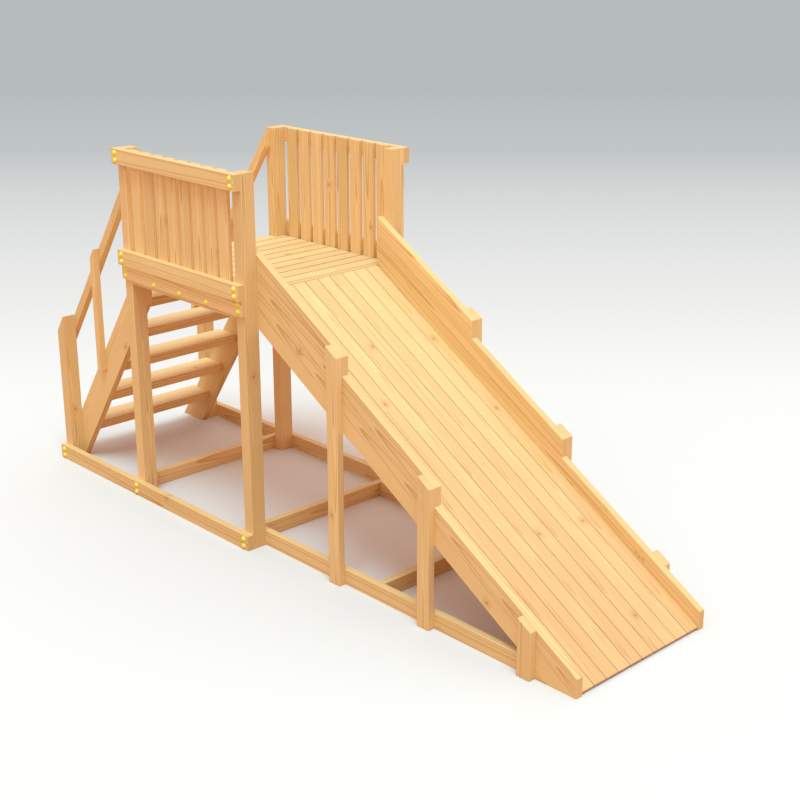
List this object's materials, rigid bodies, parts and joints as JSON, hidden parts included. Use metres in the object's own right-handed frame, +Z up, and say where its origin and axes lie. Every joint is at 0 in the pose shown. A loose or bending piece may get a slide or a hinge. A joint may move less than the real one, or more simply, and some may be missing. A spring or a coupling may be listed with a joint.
{
  "type": "toddler slide",
  "caption": "Free-standing wooden tower slide: a railed stair behind a platform with picket guards, and a boarded chute between stepped side boards that runs down to the ground.",
  "frame": {"origin": "on the ground, under the middle of the whole slide", "axes": "+X from the stair towards the slide's foot, +Y across the slide, +Z up"},
  "size_m": [4.775, 1.374, 2.3],
  "materials": {
    "pine": "planed softwood with a clear warm oil",
    "screw_steel": "zinc plated",
    "cap_plastic": "smooth moulded plastic"
  },
  "bodies": {
    "root": {"baluster_far": "pine", "baluster_near": "pine", "coach_screws_long": "screw_steel", "coach_screws_short": "screw_steel", "deck_battens": "pine", "deck_screws": "screw_steel", "floor_cross_beam_front": "pine", "floor_cross_beam_rear": "pine", "floor_cross_beam_slide": "pine", "front_post_far": "pine", "front_post_near": "pine", "guard_lower_rail_far": "pine", "guard_lower_rail_near": "pine", "guard_pickets_far": "pine", "guard_pickets_near": "pine", "guard_top_rail_far": "pine", "guard_top_rail_near": "pine", "handrail_far": "pine", "handrail_near": "pine", "newel_post_far": "pine", "newel_post_near": "pine", "platform_boards": "pine", "platform_edge_strip": "pine", "platform_header_front": "pine", "platform_header_rear": "pine", "platform_ledger_far": "pine", "platform_ledger_near": "pine", "platform_rear_trim": "pine", "platform_side_beam_far": "pine", "platform_side_beam_near": "pine", "rear_post_far": "pine", "rear_post_near": "pine", "screw_caps": "cap_plastic", "screw_washers": "screw_steel", "slide_base_beam_far": "pine", "slide_base_beam_near": "pine", "slide_deck_boards": "pine", "slide_side_bottom_far": "pine", "slide_side_bottom_near": "pine", "slide_side_lower_far": "pine", "slide_side_lower_near": "pine", "slide_side_middle_far": "pine", "slide_side_middle_near": "pine", "slide_side_upper_far": "pine", "slide_side_upper_near": "pine", "slide_support_1_far": "pine", "slide_support_1_near": "pine", "slide_support_2_far": "pine", "slide_support_2_near": "pine", "slide_support_3_far": "pine", "slide_support_3_near": "pine", "stair_step_1": "pine", "stair_step_2": "pine", "stair_step_3": "pine", "stair_step_4": "pine", "stair_step_5": "pine", "stringer_far": "pine", "stringer_near": "pine", "tower_base_beam_far": "pine", "tower_base_beam_near": "pine"}
  },
  "joints": []
}
